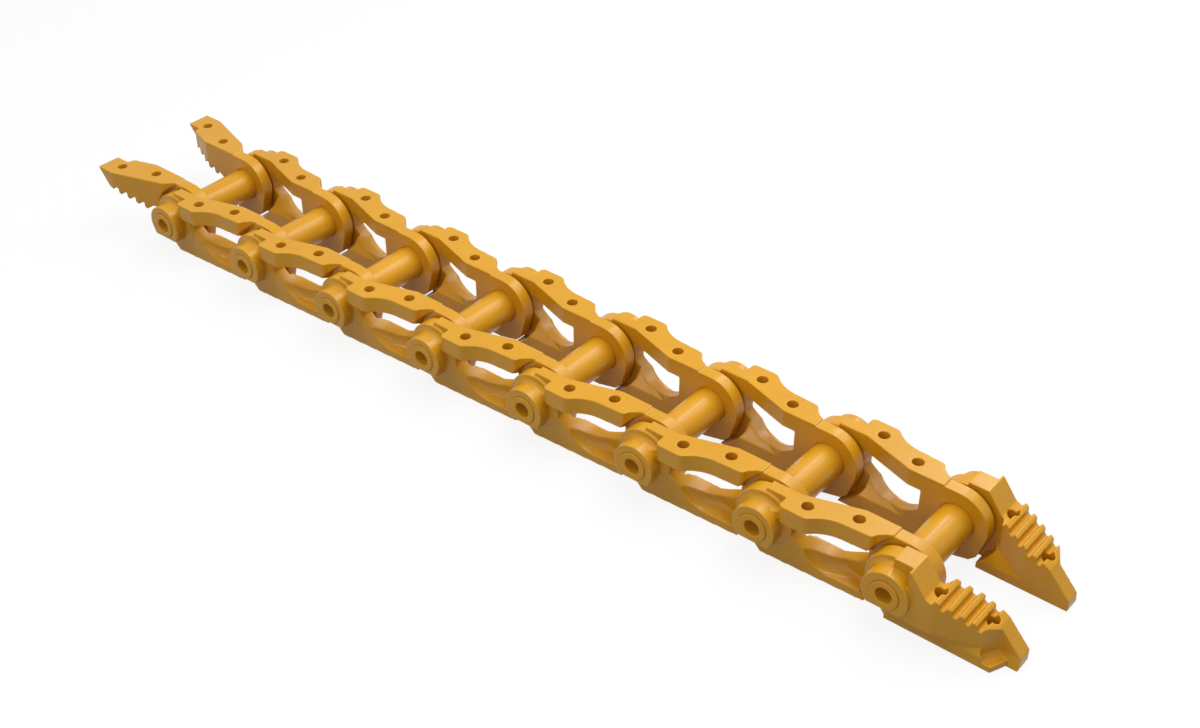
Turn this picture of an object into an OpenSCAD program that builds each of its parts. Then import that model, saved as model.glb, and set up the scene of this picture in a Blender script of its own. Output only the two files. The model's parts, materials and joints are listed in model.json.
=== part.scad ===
// Sealed and lubricated dozer track chain, seven link pairs with split master halves at both ends.
// Origin at the middle of the chain on the plane the rails stand on, +X along the chain, shoe side up.

/* [Chain] */
// Distance between neighbouring pin axes
pitch = 216; // [210:1:222]
// Height from the rail face to the shoe face
link_h = 119; // [117:0.5:122]
// Height of the pin axis above the rail face
pin_z = 65.5; // [64:0.5:67]

/* [Pin and bushing] */
// Diameter of the track pin
pin_d = 46; // [44:0.5:48]
// Length of the track pin over its two ends
pin_len = 278; // [276:0.5:282]
// Chamfer on both ends of the pin
pin_chamfer = 1.5; // [0.5:0.25:2.5]
// Diameter of the oil reservoir bored into each pin end
reservoir_d = 25.6; // [20:0.2:28]
// Depth of the oil reservoir
reservoir_depth = 60; // [45:1:70]
// Diameter of the oil passage between the two reservoirs
oil_passage_d = 10; // [6:0.5:14]
// Length of the rubber stopper at the bottom of a reservoir
stopper_len = 16; // [10:1:25]
// Outer diameter of the bushing
bushing_d = 57.6; // [56:0.2:60]
// How far the bushing stands out of its link on each side
bushing_proud = 7; // [6.2:0.2:9]

/* [Joint fits] */
// Radial running clearance between pin and bushing
running_gap = 0.05; // [0.02:0.01:0.1]
// Radial line clearance of the pressed pin and bushing seats
press_gap = 0.01; // [0.005:0.005:0.02]
// Axial and radial clearance round the seals and thrust rings
seal_gap = 0.2; // [0.1:0.05:0.3]
// Diameter of the seal counterbore in a pin end
counterbore_d = 69; // [66:0.5:72]
// Depth of the seal counterbore
counterbore_depth = 13; // [11:0.5:14]
// Outer diameter of the thrust ring on the pin
thrust_ring_d = 53; // [51:0.5:54]

/* [Link plan] */
// Distance from the middle plane to the inner face of a bushing end
bush_inner_y = 57.2; // [56:0.2:58]
// Thickness of the bushing end
bush_wall = 21.6; // [20:0.2:22.4]
// Side gap between a bushing end and the next pin end
side_gap = 6; // [5.4:0.2:8]
// Thickness of the pin end
pin_wall = 24.6; // [23:0.2:27]
// How far the pin boss stands out of the pin end
boss_proud = 27.5; // [25:0.5:29]
// Where the inner face starts to slant, from the pin axis
slant_start = 47.7; // [45:0.5:50]
// Where the inner face stops slanting, back from the bushing axis
slant_end_back = 82; // [78:1:86]

/* [Link rounds] */
// Radius of the round bushing end
bush_end_r = 51.2; // [49:0.2:52.4]
// Drop of the round bushing end below the shoe face
bush_end_drop = 2.3; // [1.5:0.1:3]
// Where the shoe face ends, back from the bushing axis
seam_back = 25; // [20:1:30]
// Radius of the pin end collar
collar_r = 47.8; // [45:0.2:49]
// Radius of the pin boss
boss_r = 35.6; // [33:0.2:37]
// Radius of the fillet at the root of the boss
boss_root_r = 8; // [5:0.5:9]
// Distance from the pin axis down to the flat under the boss
boss_flat = 26; // [24.5:0.5:30]
// Half width of that flat
boss_flat_half = 27.5; // [26:0.5:30]

/* [Shoe strap] */
// Thickness of the shoe strap
strap_t = 29.5; // [27:0.5:31]
// Distance from the middle plane to the outer edge at the wide ear
ear_y = 126.8; // [124:0.2:130]
// Where the wide ear starts, from the pin axis
ear_start = 32.5; // [30:0.5:36]
// Radius of the ear corner near the pin
ear_corner_r = 8; // [5:0.5:10]
// Radius of the fillet between the ear and the boss
ear_root_r = 12; // [10:0.5:14]
// Radius of the ear corner toward the bushing
ear_round_r = 14; // [10:1:18]
// Distance from the middle plane to the outer edge at the waist
waist_y = 103.2; // [101:0.2:106]
// Where the waist starts, from the pin axis
waist_start = 128; // [120:1:132]
// Where the strap's outer edge ends, back from the bushing axis
strap_end_back = 44; // [42:0.5:48]
// Radius of the strap's end corner
strap_end_r = 8; // [5:0.5:10]
// Radius of the hollow between ear and waist
hollow_r = 63; // [55:1:70]
// How far the tab reaches past the pin axis
tab_reach = 1; // [0:0.5:4]
// Width of the tab over the pin end
tab_w = 20.3; // [18:0.1:23]

/* [Shoe bolts] */
// Diameter of a shoe bolt hole
bolt_d = 18; // [16:0.2:20]
// Distance of the wide pair of holes from the pin axis
bolt_wide_x = 65.8; // [62:0.2:70]
// Spacing of the wide pair across the chain
bolt_wide_span = 203.2; // [200:0.2:208]
// Distance of the narrow pair of holes from the pin axis
bolt_narrow_x = 136.1; // [132:0.2:140]
// Spacing of the narrow pair across the chain
bolt_narrow_span = 158.8; // [155:0.2:162]
// Depth of a master bolt hole below the teeth
master_bolt_depth = 34; // [26:1:38]

/* [Nut window] */
// Where the window starts, from the pin axis
window_start = 45.5; // [44:0.5:48]
// Where the window ends, back from the bushing axis
window_end_back = 60; // [58:0.5:64]
// Radius of the curved window floor at the inner face
window_floor_r = 79; // [76:1:82]
// Lowest height of the window floor at the inner face
window_floor_z = 36.3; // [35:0.1:39]
// Where the window floor is lowest, from the pin axis
window_x = 106; // [103:0.5:109]
// Growth of the floor's radius per millimetre outward
window_flare = 0.08; // [0.04:0.01:0.14]

/* [Scoop] */
// Radius of the scoop's hollow
scoop_r = 17; // [15:0.5:19]
// Radius of the scoop's sweep round its left end
scoop_sweep_r = 36.5; // [34:0.5:39]
// Where the scoop's sweep is centred, from the pin axis
scoop_x = 102; // [98:1:106]
// Height of the scoop's middle line above the rail face
scoop_z = 31.5; // [30:0.5:33]
// Thickness of the web behind the scoop
scoop_web = 17.5; // [16:0.5:19]

/* [Rail] */
// Distance from the middle plane to the rail's outer edge near the bushing
rail_end_y = 103; // [101:0.2:106]
// Where the rail flange ends, back from the bushing axis
rail_end_back = 46.5; // [45:0.5:50]
// Height of the inner flange's edge over the rail face
flange_h = 28; // [26:0.5:30]
// Slope of the inner flange's top toward the web
flange_slope = 0.85; // [0.7:0.05:1]
// Radius that clears the next bushing end's foot round the pin axis
foot_clear_r = 69; // [68.5:0.1:72]
// Height up to which that radius is cleared
foot_clear_z = 36; // [35:0.5:40]
// Radius that clears the round bushing end above it
disc_clear_r = 57; // [55.5:0.5:60]
// Reach of the bushing end's foot past the bushing axis
foot_reach = 37; // [34:0.5:39]
// Where the foot's underside starts to rise, back from the bushing axis
foot_back = 4; // [2:0.5:8]
// Height of the foot's toe above the rail face
foot_rise = 9.5; // [7:0.5:11]
// Length of the chamfer on the foot's toe, along both of its faces
foot_chamfer = 8; // [5:0.5:10]
// Radius that clears the next pin end's foot round the bushing axis
rail_clear_r = 75; // [73:0.5:78]
// Radius that clears the next collar at the bushing end's outer face
collar_clear_r = 55; // [53:0.5:58]
// Growth of that radius per millimetre outward
collar_clear_slope = 0.1; // [0.05:0.01:0.2]

/* [Master teeth] */
// Number of teeth on a master half
tooth_count = 5; // [4:1:5]
// Step between teeth along the chain
tooth_step = 16.8; // [16.4:0.1:17.2]
// Step between teeth downward
tooth_drop = 6.5; // [6:0.1:7]
// Length of a tooth's land
tooth_land = 6.2; // [5.4:0.1:6.8]
// Drop of a tooth's land along its length
land_drop = 3.6; // [3:0.1:4]
// Length of a tooth's steep wall along the chain
tooth_wall = 0.2; // [0:0.1:0.6]
// Drop of that wall
wall_drop = 8.3; // [7.4:0.1:9]
// Length of the floor between two teeth
root_land = 5; // [4.2:0.1:5.6]
// Drop of that floor along its length
root_fall = 3.1; // [2.4:0.1:3.6]
// Where the split leaves the shoe face, from the pin axis
split_x = 31.7; // [30:0.1:33]
// Where the first tooth starts, from the pin axis
first_tooth_x = 71.1; // [70:0.1:72]
// Height of the first tooth
first_tooth_z = 90.7; // [89.6:0.1:91.6]
// Length of the bolt seat before the first tooth
seat_back = 14.8; // [14:0.1:15.6]
// Drop of that seat below the first tooth
seat_drop = 3.8; // [3:0.1:4.6]
// Distance of the first root before the first tooth
root_back = 5.6; // [5:0.1:6.4]
// Drop of the first root below the first tooth
root_drop = 8.1; // [7.4:0.1:8.8]
// Length of the land over the toe
toe_land = 11.2; // [10.4:0.2:12]
// Where the toe ends, back from the bushing axis
toe_end_back = 31.2; // [29:0.2:34]
// Height of the toe's end
toe_h = 19; // [16:0.5:22]
// Distance from the middle plane to the toe's outer face, over the height of its end
toe_y = 83; // [81:0.5:85]
// Distance from the middle plane to the toe's outer face at the bottom
toe_foot_y = 88; // [86:0.5:90]
// Where the wall beside the toe ends, from the pin axis
toe_wall_x = 153; // [151:0.5:156]
// Height of the ledge under that wall
ledge_z = 10.5; // [9:0.5:12]
// Radius of the hollow over that ledge
ledge_r = 11; // [9:0.5:13]

/* [Master sides] */
// How much larger the boss of a pin end master is in radius
master_boss_extra = 1.5; // [0:0.5:2]
// How much wider its tab is
master_tab_extra = 13; // [11:0.5:15]
// Distance from the middle plane to the wide outer side of both master halves
master_tip_y = 129.4; // [127.6:0.1:131]
// Where that side starts to narrow, from the pin axis
tip_outer_x = 70; // [67:0.5:73]
// Distance from the middle plane to its corner near the bushing
master_end_y = 96.5; // [94:0.5:98]
// Where the inner side starts to step in, from the pin axis
tip_inner_x = 60; // [58.5:0.5:61.5]
// Where the knee of the inner side is, from the pin axis
tip_knee_x = 64.5; // [63:0.5:67]
// Distance from the middle plane to that knee
tip_knee_y = 71.8; // [70:0.2:73]
// Where the inner side stops slanting, from the pin axis
tip_flat_x = 110.8; // [107:0.2:114]
// Where the wide side of a pin end master starts, from the pin axis
master_side_x = 29; // [27:0.5:29.5]
// Where the rail of a pin end master starts, from the pin axis
master_rail_start = -8; // [-9:0.5:-5]
// Distance from the middle plane to its rail edge
master_rail_y = 113.5; // [112:0.1:115]
// Height of the wide side's lower edge over the rail face
master_crease_z = 30.5; // [28:0.5:33]
// Height of the rail's upright edge near the toe
master_rail_h = 18; // [15:0.5:20]
// Where the rail's outer edge ends, back from the bushing axis
master_rail_back = 59; // [57:0.5:63]
// Where its inner flange starts, from the pin axis
master_flange_x = 41; // [38:0.5:44]
// Height of the edge of that flange
pocket_z = 16; // [14:0.5:18]
// Slope of that flange's top toward the teeth
pocket_slope = 1.8; // [1.4:0.1:2.2]

/* [Hidden] */
$fn = 96;
link_total = 7;
overlap = 1;
cut = 200;

link_list = [1:link_total];
joint_list = [1:link_total + 1];

// Side faces of the two link ends
bush_outer_y = bush_inner_y + bush_wall;
pin_inner_y = bush_outer_y + side_gap;
pin_outer_y = pin_inner_y + pin_wall;
boss_y = pin_outer_y + boss_proud;
bushing_end_y = bush_outer_y + bushing_proud;
counterbore_floor_y = pin_inner_y + counterbore_depth;

// Where the rail starts at the pin end and where its inner flange starts
rail_start = -2;
flange_x = slant_start / 2;

// Slanted wall between the two link ends
waist_taper = 2.2;
slant_end = pitch - slant_end_back;
slant_angle = atan2(pin_inner_y - bush_inner_y, slant_end - slant_start);
strap_z = link_h - strap_t;
window_end = pitch - window_end_back;
window_axis_z = window_floor_z + window_floor_r;
strap_end_y = waist_y - waist_taper;

// Chain ends, which set the origin
toe_end = pitch - toe_end_back;
chain_start = split_x - pitch;
chain_end = link_total * pitch + toe_end;
chain_mid = (chain_start + chain_end) / 2;

steel_paint = "goldenrod";
bush_paint = "darkgoldenrod";
rubber = "dimgray";

function joint_x(i) = (i - 1) * pitch - chain_mid;

// Point where a line from a point touches a circle, on the left or right of the line to its centre
function tangent_point(p, c, r, side) =
    let (d = norm(p - c))
    let (a = atan2(p[1] - c[1], p[0] - c[0]) + side * acos(r / d))
    [c[0] + r * cos(a), c[1] + r * sin(a)];

// Point at a distance from a toward b
function toward(a, b, distance) = a + distance * (b - a) / norm(b - a);

// An outline in X and Z, extruded from y0 to y1
module slab(y0, y1) {
    translate([0, y1, 0]) rotate([90, 0, 0]) linear_extrude(y1 - y0) children();
}

// A round bar along Y, centred at x and z
module bar(x, z, r, y0, y1) {
    translate([x, y1, z]) rotate([90, 0, 0]) cylinder(r = r, h = y1 - y0);
}

// A tapered bar along Y, with radius r0 at y0 and r1 at y1
module taper(x, z, r0, r1, y0, y1) {
    translate([x, y0, z]) rotate([-90, 0, 0]) cylinder(r1 = r0, r2 = r1, h = y1 - y0);
}

// A ring along Y
module ring(x, z, r_out, r_in, y0, y1) {
    difference() {
        bar(x, z, r_out, y0, y1);
        bar(x, z, r_in, y0 - overlap, y1 + overlap);
    }
}

// Frame of the slanted wall: first axis along its inner face, second axis outward through it
module wall_frame() {
    translate([slant_start, pin_inner_y, 0]) rotate([0, 0, -slant_angle]) children();
}

// Place along the slanted wall for a distance from the pin axis
function wall_u(x) = (x - slant_start) / cos(slant_angle);

// Mirrors a left-hand piece to the right-hand row
module sided(side) {
    if (side > 0) children();
    else mirror([0, 1, 0]) children();
}

// Boss round the pin with a filleted root and a flat underneath
module boss(radius) {
    difference() {
        union() {
            translate([0, pin_outer_y, pin_z]) rotate([-90, 0, 0]) rotate_extrude() {
                square([radius, boss_proud]);
                difference() {
                    square([radius + boss_root_r, boss_root_r]);
                    translate([radius + boss_root_r, boss_root_r]) circle(r = boss_root_r);
                }
            }
            slab(pin_outer_y, boss_y) polygon([
                [-radius, pin_z], [radius, pin_z],
                [boss_flat_half, pin_z - boss_flat], [-boss_flat_half, pin_z - boss_flat]
            ]);
        }
        translate([-cut / 2, pin_outer_y, pin_z - boss_flat - cut]) cube([cut, cut, cut]);
    }
}

// Pin end: collar, boss and the block that runs down to the rail
module pin_end(boss_radius, start_x) {
    axis = [0, pin_z];
    corner = [start_x, 0];
    touch = tangent_point(corner, axis, collar_r, -1);
    bar(0, pin_z, collar_r, pin_inner_y, pin_outer_y);
    boss(boss_radius);
    slab(pin_inner_y, pin_outer_y) polygon([corner, [0, 0], axis, touch]);
}

// Tab on the shoe face over the pin end
module tab(end_x, width) {
    slab(pin_inner_y, pin_inner_y + width) polygon([
        [-tab_reach, pin_z], [end_x, pin_z], [end_x, link_h], [-tab_reach, link_h]
    ]);
}

// Rounded fill between the boss and the left side of the strap's ear
module ear_root() {
    mid_x = ear_start - ear_root_r;
    reach = boss_r + ear_root_r;
    mid_z = pin_z + sqrt(reach * reach - mid_x * mid_x);
    touch = [mid_x, mid_z - pin_z] * boss_r / reach + [0, pin_z];
    slab(pin_outer_y - overlap, ear_y - ear_corner_r) difference() {
        polygon([
            [0, pin_z], [ear_start + overlap, strap_z], [ear_start + overlap, mid_z],
            [mid_x, mid_z], touch
        ]);
        translate([mid_x, mid_z]) circle(r = ear_root_r);
    }
}

// Bushing end: round end, shoe face behind the seam and the rail foot that reaches under the next link
module bushing_end() {
    axis = [pitch, pin_z];
    foot = [pitch + foot_reach, foot_rise];
    base = [pitch - foot_back, 0];
    touch = tangent_point(foot, axis, bush_end_r, 1);
    step_z = link_h - bush_end_drop;
    bar(pitch, pin_z, bush_end_r, bush_inner_y, bush_outer_y);
    slab(bush_inner_y, bush_outer_y) polygon([
        [window_end, 0], [window_end, link_h], [pitch - seam_back, link_h], [pitch - seam_back, step_z],
        [pitch, step_z], axis, touch, toward(foot, touch, foot_chamfer), toward(foot, base, foot_chamfer),
        base
    ]);
}

// Space swept by the next link's pin end, outside the bushing end
module collar_sweep() {
    reach = ear_y + overlap - bush_outer_y;
    taper(pitch, pin_z, collar_clear_r, collar_clear_r + collar_clear_slope * reach,
        bush_outer_y, bush_outer_y + reach);
    intersection() {
        bar(pitch, pin_z, rail_clear_r, bush_outer_y, bush_outer_y + reach);
        translate([pitch - cut, 0, -overlap]) cube([cut + foot_reach, cut, pin_z + overlap]);
    }
}

// Space swept by the previous link's bushing end and its foot, inside the pin end
module foot_sweep() {
    low = foot_clear_z - pin_z;
    low_x = sqrt(foot_clear_r * foot_clear_r - low * low);
    bar(0, pin_z, disc_clear_r, 0, pin_inner_y);
    intersection() {
        bar(0, pin_z, foot_clear_r, 0, pin_inner_y);
        translate([-cut, 0, -overlap]) cube([2 * cut, cut, foot_clear_z + overlap]);
    }
    slab(0, pin_inner_y) polygon([
        [0, foot_clear_z - overlap], [low_x, foot_clear_z - overlap], [low_x, foot_clear_z],
        [disc_clear_r, pin_z], [0, pin_z]
    ]);
}

// Shoe strap with its ear, hollow and waist
module strap() {
    ear_x = ear_start + ear_corner_r;
    ear_inner_y = ear_y - ear_round_r;
    hollow_y = waist_y + hollow_r;
    round_x = waist_start - sqrt(pow(hollow_r + ear_round_r, 2) - pow(hollow_y - ear_inner_y, 2));
    meet = [round_x, ear_inner_y]
        + ear_round_r * [waist_start - round_x, hollow_y - ear_inner_y] / (hollow_r + ear_round_r);
    end_corner = [pitch - strap_end_back - strap_end_r, strap_end_y - strap_end_r];
    translate([0, 0, strap_z]) difference() {
        union() {
            linear_extrude(strap_t) polygon([
                [-tab_reach, pin_inner_y], [slant_start, pin_inner_y], [slant_end, bush_inner_y],
                [pitch - seam_back, bush_inner_y], [pitch - seam_back, bush_outer_y],
                [pitch - seam_back - strap_end_r, bush_outer_y + strap_end_r / 2],
                end_corner + [strap_end_r, 0], end_corner, end_corner + [0, strap_end_r],
                [waist_start, waist_y], meet, [round_x, ear_inner_y],
                [round_x, ear_y], [ear_x, ear_y], [ear_x, ear_y - ear_corner_r],
                [ear_start, ear_y - ear_corner_r], [ear_start, pin_inner_y + tab_w],
                [-tab_reach, pin_inner_y + tab_w]
            ]);
            translate([round_x, ear_inner_y, 0]) cylinder(r = ear_round_r, h = strap_t);
            translate([ear_x, ear_y - ear_corner_r, 0]) cylinder(r = ear_corner_r, h = strap_t);
            translate(end_corner) cylinder(r = strap_end_r, h = strap_t);
        }
        translate([waist_start, hollow_y, -overlap]) cylinder(r = hollow_r, h = strap_t + 2 * overlap);
    }
}

// Rail flange over a plan, with its top sloping up from the inner edge's height to the web
module sloped_flange(edge_z, slope) {
    top = edge_z + slope * (pin_outer_y - bush_inner_y);
    intersection() {
        linear_extrude(top) children();
        along(rail_start) polygon([
            [bush_inner_y, 0], [bush_inner_y, edge_z], [pin_outer_y, top], [pin_outer_y, 0]
        ]);
    }
}

// Open space of the nut window over its curved floor
module window_space() {
    intersection() {
        translate([window_start, 0, 0]) cube([window_end - window_start, cut, strap_z]);
        taper(window_x, window_axis_z, window_floor_r - window_flare * bush_inner_y,
            window_floor_r + window_flare * (cut - bush_inner_y), 0, cut);
    }
}

// Scooped hollow in the outer side under the window, no deeper than the bushing end's outer face
module scoop() {
    reach = pitch - scoop_x;
    intersection() {
        wall_frame() translate([wall_u(scoop_x), scoop_web + scoop_r, scoop_z]) {
            translate([0, 0, scoop_sweep_r]) rotate([-90, 0, 0]) {
                rotate_extrude() translate([scoop_sweep_r, 0]) circle(r = scoop_r);
                cylinder(r = scoop_sweep_r + scoop_r, h = cut);
            }
            rotate([0, 90, 0]) cylinder(r = scoop_r, h = reach);
            translate([0, -scoop_r, 0]) cube([reach, cut, scoop_sweep_r]);
            translate([0, 0, -scoop_r]) cube([reach, cut, scoop_sweep_r]);
        }
        translate([0, bush_outer_y, 0]) cube([pitch, cut, window_axis_z]);
    }
}

// The forged web between the ends of a link, with the sloped flange on its inner side
module web() {
    end_x = pitch - rail_end_back;
    difference() {
        union() {
            linear_extrude(strap_z + overlap) polygon([
                [0, pin_inner_y], [slant_start, pin_inner_y], [slant_end, bush_inner_y],
                [end_x, bush_inner_y], [end_x, rail_end_y], [0, pin_outer_y]
            ]);
            sloped_flange(flange_h, flange_slope) polygon([
                [rail_start, pin_inner_y], [flange_x, pin_inner_y], [flange_x, bush_inner_y],
                [end_x, bush_inner_y], [end_x, rail_end_y], [rail_start, pin_outer_y]
            ]);
        }
        window_space();
        scoop();
        foot_sweep();
    }
}

// Pin seat and seal counterbore through a pin end
module pin_seat() {
    bar(0, pin_z, pin_d / 2 + press_gap, pin_inner_y - overlap, boss_y + overlap);
    bar(0, pin_z, counterbore_d / 2, pin_inner_y - overlap, counterbore_floor_y);
}

// Bushing seat through a bushing end
module bushing_seat() {
    bar(pitch, pin_z, bushing_d / 2 + press_gap, bush_inner_y - overlap, bush_outer_y + overlap);
}

// The wide and the narrow shoe bolt hole, each from its own height up
module bolt_holes(wide_z, narrow_z) {
    translate([bolt_wide_x, bolt_wide_span / 2, wide_z]) cylinder(d = bolt_d, h = cut);
    translate([bolt_narrow_x, bolt_narrow_span / 2, narrow_z]) cylinder(d = bolt_d, h = cut);
}

// One whole forged link of the left row
module link() {
    difference() {
        union() {
            difference() {
                union() {
                    pin_end(boss_r, rail_start);
                    web();
                    strap();
                }
                collar_sweep();
            }
            ear_root();
            tab(ear_start, tab_w);
            bushing_end();
        }
        pin_seat();
        bushing_seat();
        bolt_holes(strap_z - overlap, strap_z - overlap);
    }
}

// Depth of a tooth, and the split line of a master pair, from the shoe face down to the toe's end
tooth_depth = land_drop + wall_drop + root_fall;
last_tooth = [first_tooth_x, first_tooth_z] + (tooth_count - 1) * [tooth_step, -tooth_drop];
split_line = concat(
    [[split_x, link_h], [first_tooth_x - seat_back, first_tooth_z - seat_drop],
        [first_tooth_x - root_back, first_tooth_z - root_drop]],
    [for (k = [0:tooth_count - 2])
        let (x = first_tooth_x + k * tooth_step)
        let (z = first_tooth_z - k * tooth_drop)
        let (root = [x + tooth_land + tooth_wall, z - land_drop - wall_drop])
        each [[x, z], [x + tooth_land, z - land_drop], root, root + [root_land, -root_fall]]
    ],
    [last_tooth, last_tooth + [toe_land, -tooth_drop], [toe_end, toe_h]]
);

// Inner side of both master halves, and their outer side at the last tooth
master_inner = [
    [0, pin_inner_y], [tip_inner_x, pin_inner_y], [tip_knee_x, tip_knee_y], [tip_flat_x, bush_inner_y]
];
narrowing = (master_tip_y - master_end_y) / (pitch - strap_end_back - tip_outer_x);
last_tooth_y = master_tip_y - narrowing * (last_tooth[0] - tip_outer_x);

// Everything under the split line
module under_split() {
    slab(0, cut) polygon(concat(split_line, [[toe_end, 0], [-cut, 0], [-cut, link_h]]));
}

// Everything over the split line
module over_split() {
    slab(0, cut) polygon(concat(split_line, [[toe_end, 0], [pitch + cut, 0], [pitch + cut, link_h]]));
}

// A profile in Y and Z, extruded along the chain over one pitch
module along(start_x) {
    translate([start_x, 0, 0]) rotate([90, 0, 90]) linear_extrude(pitch) children();
}

// Side of a pin end master: wide side over the rail, and the rail edge
module master_side() {
    last_x = last_tooth[0];
    rail_x = pitch - master_rail_back;
    start_x = master_rail_start;
    translate([0, 0, master_crease_z]) linear_extrude(link_h - master_crease_z) polygon([
        [master_side_x, pin_inner_y], [last_x, pin_inner_y], [last_x, last_tooth_y],
        [tip_outer_x, master_tip_y], [master_side_x, master_tip_y]
    ]);
    intersection() {
        linear_extrude(link_h) polygon([
            [start_x, pin_inner_y], [rail_x + ledge_r, pin_inner_y],
            [rail_x + ledge_r, toe_foot_y], [rail_x, master_rail_y], [start_x, master_rail_y]
        ]);
        along(start_x) polygon([
            [0, 0], [master_rail_y, 0], [master_rail_y, master_rail_h],
            [master_rail_y - master_rail_h / 2, 2 * master_rail_h], [0, 2 * master_rail_h]
        ]);
    }
}

// Hollow beside the toe, over the ledge at the rail's end
module ledge_space() {
    wall = [toe_wall_x, toe_y] - [last_tooth[0], last_tooth_y];
    translate([last_tooth[0], last_tooth_y, 0]) rotate([0, 0, atan2(wall[1], wall[0])])
        translate([-ledge_r / 4, 0, ledge_z]) rotate([90, 0, 90]) linear_extrude(cut) difference() {
            square(cut);
            difference() {
                square(ledge_r);
                translate([ledge_r, ledge_r]) circle(r = ledge_r);
            }
        }
}

// Toe of a pin end master, with its outer face leaning in
module toe() {
    along(last_tooth[0]) polygon([
        [bush_inner_y, 0], [toe_foot_y, 0], [toe_y, toe_h], [toe_y, link_h], [bush_inner_y, link_h]
    ]);
}

// Pin end half of a master link, left row: rail side with the teeth facing up
module master_pin_end() {
    last_x = last_tooth[0];
    bolt_drop = tooth_depth + master_bolt_depth;
    difference() {
        union() {
            pin_end(boss_r + master_boss_extra, master_rail_start);
            tab(split_x, tab_w + master_tab_extra);
            intersection() {
                under_split();
                difference() {
                    union() {
                        difference() {
                            union() {
                                linear_extrude(link_h) polygon(concat(master_inner, [
                                    [toe_wall_x, bush_inner_y], [toe_wall_x, toe_y],
                                    [last_x, last_tooth_y], [tip_outer_x, pin_outer_y], [0, pin_outer_y]
                                ]));
                                sloped_flange(pocket_z, pocket_slope) polygon([
                                    [master_flange_x, pin_inner_y + overlap], [master_flange_x, bush_inner_y],
                                    [toe_wall_x, bush_inner_y], [toe_wall_x, toe_y],
                                    [last_x, pin_inner_y + overlap]
                                ]);
                                master_side();
                            }
                            ledge_space();
                        }
                        toe();
                    }
                    foot_sweep();
                }
            }
        }
        pin_seat();
        bolt_holes(first_tooth_z - bolt_drop, last_tooth[1] - bolt_drop);
    }
}

// Bushing end half of a master link, left row: shoe side with the teeth facing down
module master_bushing_end() {
    difference() {
        intersection() {
            over_split();
            union() {
                difference() {
                    linear_extrude(link_h) polygon(concat(master_inner, [
                        [pitch - seam_back, bush_inner_y], [pitch - seam_back, bush_outer_y],
                        [pitch - strap_end_back, master_end_y], [tip_outer_x, master_tip_y],
                        [0, master_tip_y]
                    ]));
                    collar_sweep();
                }
                bushing_end();
            }
        }
        bushing_seat();
        bolt_holes(0, 0);
    }
}

// Track pin with its oil reservoirs, at joint x
module pin(x) {
    half = pin_len / 2;
    r = pin_d / 2;
    color(steel_paint) difference() {
        union() {
            bar(x, pin_z, r, pin_chamfer - half, half - pin_chamfer);
            taper(x, pin_z, r, r - pin_chamfer, half - pin_chamfer, half);
            taper(x, pin_z, r - pin_chamfer, r, -half, pin_chamfer - half);
        }
        bar(x, pin_z, oil_passage_d / 2, -half - overlap, half + overlap);
        for (s = [-1, 1]) sided(s) bar(x, pin_z, reservoir_d / 2, half - reservoir_depth, half + overlap);
    }
}

// Bushing that turns on the pin, at joint x
module bushing(x) {
    color(bush_paint)
        ring(x, pin_z, bushing_d / 2, pin_d / 2 + running_gap, -bushing_end_y, bushing_end_y);
}

// Pair of seals in the counterbores, at joint x
module seal_pair(x) {
    color(rubber) for (s = [-1, 1]) sided(s)
        ring(x, pin_z, counterbore_d / 2 - seal_gap, thrust_ring_d / 2 + seal_gap,
            bushing_end_y + seal_gap, counterbore_floor_y);
}

// Pair of thrust rings between the bushing and the counterbore floors, at joint x
module thrust_ring_pair(x) {
    color("silver") for (s = [-1, 1]) sided(s)
        ring(x, pin_z, thrust_ring_d / 2, pin_d / 2 + press_gap,
            bushing_end_y + seal_gap, counterbore_floor_y);
}

// Pair of rubber stoppers at the bottoms of the oil reservoirs, at joint x
module oil_stopper_pair(x) {
    start = pin_len / 2 - reservoir_depth;
    color(rubber) for (s = [-1, 1]) sided(s)
        bar(x, pin_z, reservoir_d / 2 - press_gap, start, start + stopper_len);
}

// A link of either row, at place i
module row_link(i, side) {
    color(steel_paint) translate([joint_x(i), 0, 0]) sided(side) link();
}

for (i = link_list) {
    row_link(i, 1);
    row_link(i, -1);
}
for (s = [-1, 1]) {
    row = s > 0 ? "left" : "right";
    color(steel_paint) translate([joint_x(0), 0, 0]) sided(s) master_bushing_end();
    color(steel_paint) translate([joint_x(link_total + 1), 0, 0]) sided(s) master_pin_end();
}
for (i = joint_list) {
    pin(joint_x(i));
    bushing(joint_x(i));
    seal_pair(joint_x(i));
    thrust_ring_pair(joint_x(i));
    oil_stopper_pair(joint_x(i));
}
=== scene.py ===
import json
import math

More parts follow.
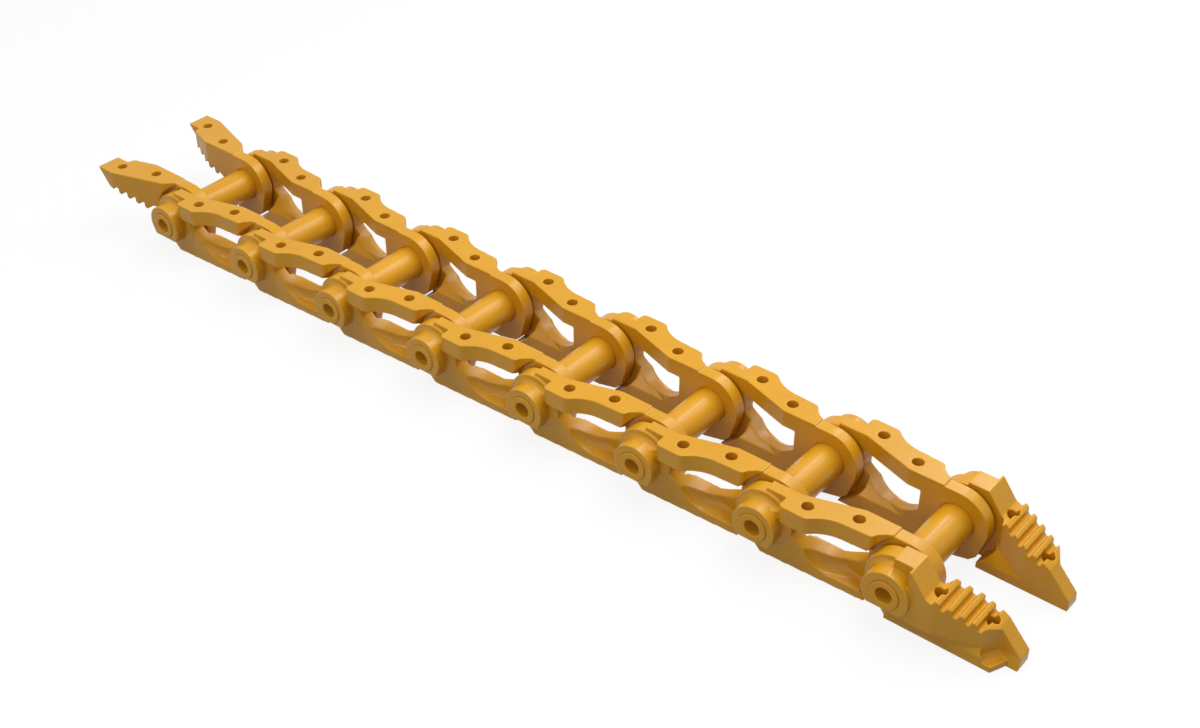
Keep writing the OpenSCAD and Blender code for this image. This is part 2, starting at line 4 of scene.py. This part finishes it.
import bmesh
import bpy
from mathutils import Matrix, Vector


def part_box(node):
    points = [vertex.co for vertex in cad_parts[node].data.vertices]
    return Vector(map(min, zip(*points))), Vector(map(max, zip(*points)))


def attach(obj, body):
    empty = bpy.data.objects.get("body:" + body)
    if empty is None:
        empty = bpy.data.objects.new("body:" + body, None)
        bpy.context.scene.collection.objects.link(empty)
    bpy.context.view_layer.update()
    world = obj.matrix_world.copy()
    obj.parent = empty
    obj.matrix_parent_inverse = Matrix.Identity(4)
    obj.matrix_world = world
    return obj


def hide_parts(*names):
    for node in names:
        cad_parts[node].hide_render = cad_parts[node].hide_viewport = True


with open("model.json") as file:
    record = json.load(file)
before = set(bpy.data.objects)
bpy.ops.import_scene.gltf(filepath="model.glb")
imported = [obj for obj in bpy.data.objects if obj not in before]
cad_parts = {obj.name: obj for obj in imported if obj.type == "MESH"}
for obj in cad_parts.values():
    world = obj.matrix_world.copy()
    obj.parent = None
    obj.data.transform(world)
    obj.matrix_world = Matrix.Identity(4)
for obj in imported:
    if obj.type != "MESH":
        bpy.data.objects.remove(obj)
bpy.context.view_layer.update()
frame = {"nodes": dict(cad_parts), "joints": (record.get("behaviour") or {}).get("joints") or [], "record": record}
nodes = frame["nodes"]
bodyOf = {n: b for b, members in frame["record"]["behaviour"]["bodies"].items() for n in members}
hingeX = sorted(j["pos_m"][0] for j in frame["joints"])
hingeZ = frame["joints"][0]["pos_m"][2]
pitch = hingeX[1] - hingeX[0]
linkCount = len(hingeX) - 1
sides = ("left", "right")
print("frame:", len(nodes), "nodes,", len(hingeX), "hinges, pitch", round(pitch, 4))


# node helpers for the materials and trees

def addNode(tree, kind, place, **settings):
    node = tree.nodes.new(kind)
    node.location = place
    for key, value in settings.items():
        setattr(node, key, value)
    return node


def setInputs(node, **values):
    for key, value in values.items():
        node.inputs[key.replace("_", " ")].default_value = value
    return node


def newMaterial(name):
    mat = bpy.data.materials.new(name)
    mat.use_nodes = True
    tree = mat.node_tree
    shader = tree.nodes["Principled BSDF"]
    shader.location = (500, 0)
    tree.nodes["Material Output"].location = (800, 0)
    coords = addNode(tree, "ShaderNodeTexCoord", (-1300, 0))
    return mat, tree, shader, coords.outputs["Object"]


def noise(tree, where, place, scale, detail, rough=0.55):
    tex = addNode(tree, "ShaderNodeTexNoise", place)
    setInputs(tex, Scale=scale, Detail=detail, Roughness=rough)
    tree.links.new(where, tex.inputs["Vector"])
    return tex.outputs["Fac"]


def ramp(tree, fac, place, *stops):
    node = addNode(tree, "ShaderNodeValToRGB", place)
    marks = node.color_ramp.elements
    while len(marks) < len(stops):
        marks.new(0.5)
    for mark, (at, colour) in zip(marks, stops):
        mark.position = at
        mark.color = colour
    tree.links.new(fac, node.inputs["Fac"])
    return node.outputs["Color"]


def grey(v):
    return (v, v, v, 1)


def mixColours(tree, place, fac, a, b, how="MIX"):
    node = addNode(tree, "ShaderNodeMix", place, data_type="RGBA", blend_type=how)
    for socket, value in ((node.inputs[0], fac), (node.inputs[6], a), (node.inputs[7], b)):
        if isinstance(value, bpy.types.NodeSocket):
            tree.links.new(value, socket)
        else:
            socket.default_value = value
    return node.outputs[2]


# ochre paint over forged or ground steel

paintLook = {
    "ochre": (0.70, 0.34, 0.012, 1),
    "deepOchre": (0.64, 0.305, 0.010, 1),
    # pale edge tone: partly worn-thin paint, partly painted highlight on rounded edges
    "paleRimWearAndSheen": (0.80, 0.43, 0.04, 1),
    # painted shade: the deeper tone laid into concave corners and creases
    "paintedHollowShade": (0.36, 0.18, 0.008, 1),
    "mottleScale": 9,          # broad shade changes along a link
    "wearAndSheenPatchScale": 30,           # patches that break up the pale edge rim (edge wear and painted highlight)
    "forgeScale": 85,          # hammered scale under the paint
    "forgeDepth": 0.0008,
    "peelScale": 420,          # orange peel of the sprayed coat
    "peelDepth": 0.00025,
    "specular": 0.32,
}


def ochrePaint(name, forge, rough, peel):
    mat, tree, shader, coords = newMaterial(name)
    look = paintLook
    mottle = noise(tree, coords, (-1050, 350), look["mottleScale"], 5)
    mottle = ramp(tree, mottle, (-850, 350), (0.3, grey(0)), (0.7, grey(1)))
    base = mixColours(tree, (-550, 350), mottle, look["deepOchre"], look["ochre"])

    geometry = addNode(tree, "ShaderNodeNewGeometry", (-1050, 650))
    # pale convex edge rim: partly edge wear, partly painted highlight where the rounded edges catch light
    point = geometry.outputs["Pointiness"]
    rim = ramp(tree, point, (-850, 650), (0.515, grey(0)), (0.56, grey(0.75)))
    patches = noise(tree, coords, (-1050, 900), look["wearAndSheenPatchScale"], 6, 0.65)
    patches = ramp(tree, patches, (-850, 900), (0.35, grey(0.25)), (0.65, grey(1)))
    wearAndSheenMask = mixColours(tree, (-550, 750), 1.0, rim, patches, "MULTIPLY")
    base = mixColours(tree, (-300, 450), wearAndSheenMask, base, look["paleRimWearAndSheen"])
    # painted shade: concave corners and creases, found by pointiness, are darkened towards a deeper ochre
    hollowShadeMask = ramp(tree, point, (-850, 150), (0.42, grey(0.5)), (0.49, grey(0)))
    base = mixColours(tree, (-50, 350), hollowShadeMask, base, look["paintedHollowShade"])
    tree.links.new(base, shader.inputs["Base Color"])

    peelTex = noise(tree, coords, (-1050, -350), look["peelScale"], 2)
    forgeTex = noise(tree, coords, (-1050, -600), look["forgeScale"], 6, 0.6)
    gloss = ramp(tree, forgeTex, (-550, -150), (0.3, grey(rough - 0.05)), (0.7, grey(rough + 0.07)))
    tree.links.new(gloss, shader.inputs["Roughness"])
    forgeBump = addNode(tree, "ShaderNodeBump", (-300, -500))
    setInputs(forgeBump, Strength=forge, Distance=look["forgeDepth"])
    tree.links.new(forgeTex, forgeBump.inputs["Height"])
    peelBump = addNode(tree, "ShaderNodeBump", (100, -400))
    setInputs(peelBump, Strength=peel, Distance=look["peelDepth"])
    tree.links.new(peelTex, peelBump.inputs["Height"])
    tree.links.new(forgeBump.outputs["Normal"], peelBump.inputs["Normal"])
    tree.links.new(peelBump.outputs["Normal"], shader.inputs["Normal"])
    setInputs(shader, Specular_IOR_Level=look["specular"])
    return mat


linkPaint = ochrePaint("forgedOchre", forge=0.16, rough=0.3, peel=0.08)
pinPaint = ochrePaint("pinOchre", forge=0.06, rough=0.38, peel=0.10)
bushingPaint = ochrePaint("bushingOchre", forge=0.05, rough=0.3, peel=0.08)
print("materials: paint")


def sealRubber(name, tone, speck):
    mat, tree, shader, coords = newMaterial(name)
    dust = noise(tree, coords, (-1050, 300), 160, 6, 0.7)
    base = ramp(tree, dust, (-700, 300), (0.35, grey(tone)), (0.75, grey(tone + speck)))
    tree.links.new(base, shader.inputs["Base Color"])
    skin = noise(tree, coords, (-1050, -300), 900, 3)
    bump = addNode(tree, "ShaderNodeBump", (0, -300))
    setInputs(bump, Strength=0.2, Distance=0.0002)
    tree.links.new(skin, bump.inputs["Height"])
    tree.links.new(bump.outputs["Normal"], shader.inputs["Normal"])
    setInputs(shader, Roughness=0.7)
    return mat


def turnedSteel(name):
    mat, tree, shader, coords = newMaterial(name)
    stain = noise(tree, coords, (-1050, 300), 120, 5)
    base = ramp(tree, stain, (-700, 300), (0.3, grey(0.42)), (0.7, grey(0.58)))
    tree.links.new(base, shader.inputs["Base Color"])
    gloss = ramp(tree, stain, (-700, -100), (0.3, grey(0.25)), (0.7, grey(0.4)))
    tree.links.new(gloss, shader.inputs["Roughness"])
    setInputs(shader, Metallic=1.0)
    return mat


sealMat = sealRubber("sealRubber", 0.018, 0.03)
stopperMat = sealRubber("stopperRubber", 0.022, 0.025)
thrustMat = turnedSteel("thrustSteel")
for i in range(1, len(hingeX) + 1):
    for kind, mat in (
            ("seal_pair", sealMat), ("thrust_ring_pair", thrustMat), ("oil_stopper_pair", stopperMat)):
        nodes[f"{kind}_{i}"].data.materials.clear()
        nodes[f"{kind}_{i}"].data.materials.append(mat)
print("materials: seals, thrust rings, stoppers")


# forged skins: the CAD solid with its edges and inner corners rounded as a forging has them

def finishMesh(obj, modifiers):
    for kind, settings in modifiers:
        mod = obj.modifiers.new(kind.lower(), kind)
        for key, value in settings.items():
            setattr(mod, key, value)
    depsgraph = bpy.context.evaluated_depsgraph_get()
    return bpy.data.meshes.new_from_object(obj.evaluated_get(depsgraph))


def dropObject(obj):
    mesh = obj.data
    bpy.data.objects.remove(obj)
    bpy.data.meshes.remove(mesh)


mergeDistance = 2e-6      # joins the CAD mesh's loose triangles


def forgedSkin(node, voxel, rounds, keep):
    mesh = nodes[node].data.copy()
    bm = bmesh.new()
    bm.from_mesh(mesh)
    bmesh.ops.remove_doubles(bm, verts=bm.verts, dist=mergeDistance)
    bm.to_mesh(mesh)
    bm.free()
    rough = bpy.data.objects.new(node + "_rough", mesh)
    bpy.context.scene.collection.objects.link(rough)
    skin = finishMesh(rough, (
        ("REMESH", {"mode": "VOXEL", "voxel_size": voxel, "use_smooth_shade": True}),
        ("SMOOTH", {"factor": 0.5, "iterations": rounds}),
        ("DECIMATE", {"ratio": keep, "use_collapse_triangulate": True}),
    ))
    dropObject(rough)
    print("skin:", node, len(skin.polygons), "faces")
    return skin


# one tree places every repeated piece along the chain

def chainPlacer():
    tree = bpy.data.node_groups.new("chainPlacer", "GeometryNodeTree")
    face = tree.interface
    for name, kind in (
            ("Piece", "NodeSocketObject"), ("Pitch", "NodeSocketFloat"), ("Steps", "NodeSocketFloat"),
            ("Mirrored", "NodeSocketBool"), ("Finish", "NodeSocketMaterial")):
        face.new_socket(name, in_out="INPUT", socket_type=kind)
    face.new_socket("Geometry", in_out="OUTPUT", socket_type="NodeSocketGeometry")
    link = tree.links.new
    given = addNode(tree, "NodeGroupInput", (-900, 0))
    info = addNode(tree, "GeometryNodeObjectInfo", (-650, 100))
    link(given.outputs["Piece"], info.inputs["Object"])
    along = addNode(tree, "ShaderNodeMath", (-650, -200), operation="MULTIPLY")
    link(given.outputs["Pitch"], along.inputs[0])
    link(given.outputs["Steps"], along.inputs[1])
    shift = addNode(tree, "ShaderNodeCombineXYZ", (-450, -200))
    link(along.outputs[0], shift.inputs["X"])
    flip = addNode(tree, "GeometryNodeSwitch", (-450, -400), input_type="VECTOR")
    flip.inputs["False"].default_value = (1, 1, 1)
    flip.inputs["True"].default_value = (1, -1, 1)
    link(given.outputs["Mirrored"], flip.inputs["Switch"])
    move = addNode(tree, "GeometryNodeTransform", (-200, 100))
    link(info.outputs["Geometry"], move.inputs["Geometry"])
    link(shift.outputs["Vector"], move.inputs["Translation"])
    link(flip.outputs["Output"], move.inputs["Scale"])
    smooth = addNode(tree, "GeometryNodeSetShadeSmooth", (0, 100))
    link(move.outputs["Geometry"], smooth.inputs["Geometry"])
    real = addNode(tree, "GeometryNodeRealizeInstances", (200, 100))
    link(smooth.outputs["Geometry"], real.inputs["Geometry"])
    paint = addNode(tree, "GeometryNodeSetMaterial", (400, 100))
    link(real.outputs["Geometry"], paint.inputs["Geometry"])
    link(given.outputs["Finish"], paint.inputs["Material"])
    out = addNode(tree, "NodeGroupOutput", (600, 100))
    link(paint.outputs["Geometry"], out.inputs["Geometry"])
    return tree


placer = chainPlacer()
socketOf = {item.name: item.identifier for item in placer.interface.items_tree if item.in_out == "INPUT"}


def placePiece(name, source, steps, mirrored, finish, node):
    holder = bpy.data.objects.new(name + "_holder", bpy.data.meshes.new(name + "_holder"))
    bpy.context.scene.collection.objects.link(holder)
    mod = holder.modifiers.new("chainPlacer", "NODES")
    mod.node_group = placer
    for key, value in (("Piece", source), ("Pitch", pitch), ("Steps", float(steps)),
                       ("Mirrored", mirrored), ("Finish", finish)):
        mod[socketOf[key]] = value
    depsgraph = bpy.context.evaluated_depsgraph_get()
    mesh = bpy.data.meshes.new_from_object(holder.evaluated_get(depsgraph))
    dropObject(holder)
    if mirrored:
        bm = bmesh.new()
        bm.from_mesh(mesh)
        bmesh.ops.recalc_face_normals(bm, faces=bm.faces)
        bm.to_mesh(mesh)
        bm.free()
    mesh.name = name
    piece = bpy.data.objects.new(name, mesh)
    bpy.context.scene.collection.objects.link(piece)
    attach(piece, bodyOf[node])
    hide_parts(node)
    return piece


def sourceObject(name, mesh):
    obj = bpy.data.objects.new(name, mesh)
    bpy.context.scene.collection.objects.link(obj)
    obj.hide_render = True
    return obj


linkSkin = {"voxel": 0.0011, "rounds": 6, "keep": 0.35}
masterSkin = {"voxel": 0.001, "rounds": 4, "keep": 0.35}

middle = (linkCount + 1) // 2
source = sourceObject("linkSource", forgedSkin(f"left_link_{middle}", **linkSkin))
for i in range(1, linkCount + 1):
    for side in sides:
        placePiece(f"forged_{side}_link_{i}", source, i - middle, side == "right", linkPaint,
                   f"{side}_link_{i}")
dropObject(source)
for end in ("bushing_end", "pin_end"):
    source = sourceObject("masterSource", forgedSkin(f"left_master_{end}", **masterSkin))
    for side in sides:
        placePiece(f"forged_{side}_master_{end}", source, 0, side == "right", linkPaint,
                   f"{side}_master_{end}")
    dropObject(source)
print("links and masters placed")


# turned pins and bushings

pinShape = {"r": 0.023, "half": 0.139, "chamfer": 0.0015, "boreR": 0.0128, "boreDepth": 0.06,
            "mouthR": 0.0018, "passageR": 0.005, "segments": 96}
bushingShape = {"r": 0.0288, "innerR": 0.02305, "edgeR": 0.0012, "segments": 96}


def arc(cx, cy, r, start, end, steps=5):
    turn = [math.radians(start + (end - start) * k / steps) for k in range(steps + 1)]
    return [(cx + r * math.cos(a), cy + r * math.sin(a)) for a in turn]


def lathe(name, profile, segments, x):
    mesh = bpy.data.meshes.new(name)
    bm = bmesh.new()
    rings = []
    for r, y in profile:
        turn = [2 * math.pi * k / segments for k in range(segments)]
        rings.append([bm.verts.new((x + r * math.sin(a), y, hingeZ + r * math.cos(a))) for a in turn])
    for low, high in zip(rings, rings[1:] + rings[:1]):
        for k in range(segments):
            n = (k + 1) % segments
            bm.faces.new((low[k], low[n], high[n], high[k]))
    bmesh.ops.recalc_face_normals(bm, faces=bm.faces)
    bm.to_mesh(mesh)
    bm.free()
    return mesh


def pinProfile():
    p = pinShape
    c = p["chamfer"]
    right = [(p["passageR"], p["half"] - p["boreDepth"]), (p["boreR"], p["half"] - p["boreDepth"])]
    right += arc(p["boreR"] + p["mouthR"], p["half"] - p["mouthR"], p["mouthR"], 180, 90)
    right += arc(p["r"] - c, p["half"] - c, c, 90, 0)
    left = [(r, -y) for r, y in reversed(right)]
    return right + left


def bushingProfile():
    b = bushingShape
    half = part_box("bushing_1")[1].y
    e = b["edgeR"]
    right = [(b["innerR"], half)] + arc(b["r"] - e, half - e, e, 90, 0)
    return right + [(r, -y) for r, y in reversed(right)]


for kind, profile, segments, finish, slotName in (
        ("pin", pinProfile(), pinShape["segments"], pinPaint, "pin_paint"),
        ("bushing", bushingProfile(), bushingShape["segments"], bushingPaint, "bushing_paint")):
    source = sourceObject(kind + "Source", lathe(kind + "Source", profile, segments, hingeX[0]))
    for i in range(1, len(hingeX) + 1):
        placePiece(f"turned_{kind}_{i}", source, i - 1, False, finish, f"{kind}_{i}")
    dropObject(source)
print("pins and bushings turned")


# pale floor, soft studio light, camera

studio = {
    "floorSize": 40,
    "floorDrop": 0.0005,      # just below the rails
    "worldLevel": 0.25,
    "floorTone": 0.25,        # what the object gets back from the floor
    "floorWhite": 0.98,       # what the camera sees of the floor
    "shadowShare": 0.12,      # how much of the floor's own shade the camera sees
    "camera": (1.48655, -1.6453, 1.650),
    "looking": (-0.508216, 0.626048, -0.591422),
    "lens": 50.01,
    "sensor": 36,
}


def cameraOrGloss(tree, place):
    path = addNode(tree, "ShaderNodeLightPath", place)
    seen = path.outputs["Is Camera Ray"]
    for step, kind in enumerate(("Is Glossy Ray", "Is Transmission Ray"), 1):
        either = addNode(tree, "ShaderNodeMath", (place[0] + 180 * step, place[1]), operation="MAXIMUM")
        tree.links.new(seen, either.inputs[0])
        tree.links.new(path.outputs[kind], either.inputs[1])
        seen = either.outputs[0]
    return seen


def paleFloor():
    half = studio["floorSize"] / 2
    mesh = bpy.data.meshes.new("floor")
    corners = [(-half, -half), (half, -half), (half, half), (-half, half)]
    mesh.from_pydata([(x, y, -studio["floorDrop"]) for x, y in corners], [], [(0, 1, 2, 3)])
    floor = bpy.data.objects.new("floor", mesh)
    bpy.context.scene.collection.objects.link(floor)
    mat = bpy.data.materials.new("paleFloor")
    mat.use_nodes = True
    tree = mat.node_tree
    shader = tree.nodes["Principled BSDF"]
    setInputs(shader, Roughness=0.9)
    seen = cameraOrGloss(tree, (-700, 300))
    tone = mixColours(tree, (-250, 0), seen, grey(studio["floorTone"]), grey(studio["floorWhite"]))
    tree.links.new(tone, shader.inputs["Base Color"])

    # the camera looks through most of the floor, so a link that folds below it still shows
    share = addNode(tree, "ShaderNodeMath", (-250, 300), operation="MULTIPLY")
    share.inputs[1].default_value = 1 - studio["shadowShare"]
    tree.links.new(seen, share.inputs[0])
    path = addNode(tree, "ShaderNodeLightPath", (-250, 550))
    through = addNode(tree, "ShaderNodeMath", (0, 400), operation="MAXIMUM")
    tree.links.new(share.outputs[0], through.inputs[0])
    tree.links.new(path.outputs["Is Shadow Ray"], through.inputs[1])
    clear = addNode(tree, "ShaderNodeBsdfTransparent", (250, -300))
    mix = addNode(tree, "ShaderNodeMixShader", (500, 100))
    tree.links.new(through.outputs[0], mix.inputs["Fac"])
    tree.links.new(shader.outputs["BSDF"], mix.inputs[1])
    tree.links.new(clear.outputs["BSDF"], mix.inputs[2])
    tree.links.new(mix.outputs["Shader"], tree.nodes["Material Output"].inputs["Surface"])
    mesh.materials.append(mat)


def softWorld():
    world = bpy.data.worlds.new("studio")
    bpy.context.scene.world = world
    world.use_nodes = True
    tree = world.node_tree
    back = tree.nodes["Background"]
    setInputs(back, Color=(1, 1, 1, 1), Strength=studio["worldLevel"])
    white = addNode(tree, "ShaderNodeBackground", (0, -200))
    setInputs(white, Color=(1, 1, 1, 1), Strength=1.0)
    mix = addNode(tree, "ShaderNodeMixShader", (300, 0))
    tree.links.new(cameraOrGloss(tree, (-400, 300)), mix.inputs["Fac"])
    tree.links.new(back.outputs["Background"], mix.inputs[1])
    tree.links.new(white.outputs["Background"], mix.inputs[2])
    tree.links.new(mix.outputs["Shader"], tree.nodes["World Output"].inputs["Surface"])


lampList = [
    {"name": "backStripA", "toward": (0.0, 0.626, 0.78), "away": 3.2, "size": (0.5, 2.6), "watts": 33},
    {"name": "backStripB", "toward": (0.31, 0.626, 0.715), "away": 3.2, "size": (0.4, 2.6), "watts": 18},
    {"name": "topBox", "toward": (0.2, 0.1, 0.96), "away": 3.4, "size": (2.6, 2.2), "watts": 55},
    {"name": "scoopBox", "toward": (-0.35, -0.47, 0.81), "away": 3.4, "size": (1.0, 0.6), "watts": 15},
    {"name": "frontBox", "toward": (0.15, -0.85, 0.5), "away": 4.0, "size": (3.0, 2.0), "watts": 25},
]


def softLamp(name, toward, away, size, watts):
    data = bpy.data.lights.new(name, "AREA")
    data.shape = "RECTANGLE"
    data.size, data.size_y = size
    data.energy = watts
    lamp = bpy.data.objects.new(name, data)
    lamp.location = Vector(toward).normalized() * away
    lamp.rotation_mode = "QUATERNION"
    lamp.rotation_quaternion = lamp.location.to_track_quat("Z", "Y")
    bpy.context.scene.collection.objects.link(lamp)


def photoCamera():
    data = bpy.data.cameras.new("camera")
    data.lens = studio["lens"]
    data.sensor_width = studio["sensor"]
    data.clip_end = 100
    camera = bpy.data.objects.new("camera", data)
    camera.location = studio["camera"]
    camera.rotation_mode = "QUATERNION"
    camera.rotation_quaternion = Vector(studio["looking"]).to_track_quat("-Z", "Y")
    bpy.context.scene.collection.objects.link(camera)
    bpy.context.scene.camera = camera


paleFloor()
softWorld()
for lamp in lampList:
    softLamp(**lamp)
photoCamera()
bpy.context.scene.view_settings.view_transform = "Standard"
print("studio ready")
